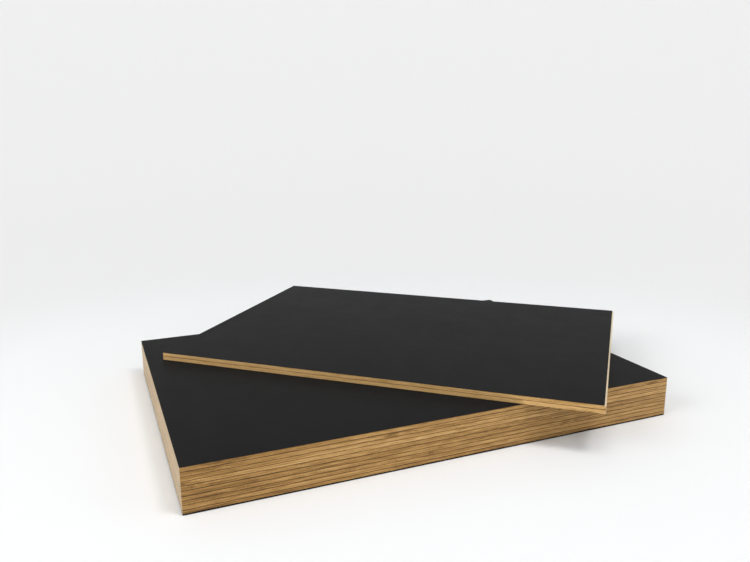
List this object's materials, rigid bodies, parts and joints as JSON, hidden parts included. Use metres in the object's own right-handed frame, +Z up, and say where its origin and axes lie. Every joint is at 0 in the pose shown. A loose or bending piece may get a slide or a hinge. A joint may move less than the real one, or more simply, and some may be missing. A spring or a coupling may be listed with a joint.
{
  "type": "stack of high-density fibreboard",
  "caption": "Flush pile of thin black-faced fibreboard sheets with brown sawn edges, and a loose pair of sheets lying askew on top.",
  "frame": {"origin": "centre of the underside of the flush pile", "axes": "+X along the pile's long edges, +Y from its front to its back, +Z up"},
  "size_m": [0.3596, 0.3426, 0.03],
  "materials": {
    "pile_board": "raw sawn fibre edges, faces finished satin black",
    "loose_board": "satin black faces, raw sawn fibre edges"
  },
  "bodies": {
    "root": {"pile_board_01": "pile_board", "pile_board_02": "pile_board", "pile_board_03": "pile_board", "pile_board_04": "pile_board", "pile_board_05": "pile_board", "pile_board_06": "pile_board", "pile_board_07": "pile_board", "pile_board_08": "pile_board", "pile_board_09": "pile_board", "pile_board_10": "pile_board", "loose_board_lower": "loose_board", "loose_board_upper": "loose_board"}
  },
  "joints": []
}
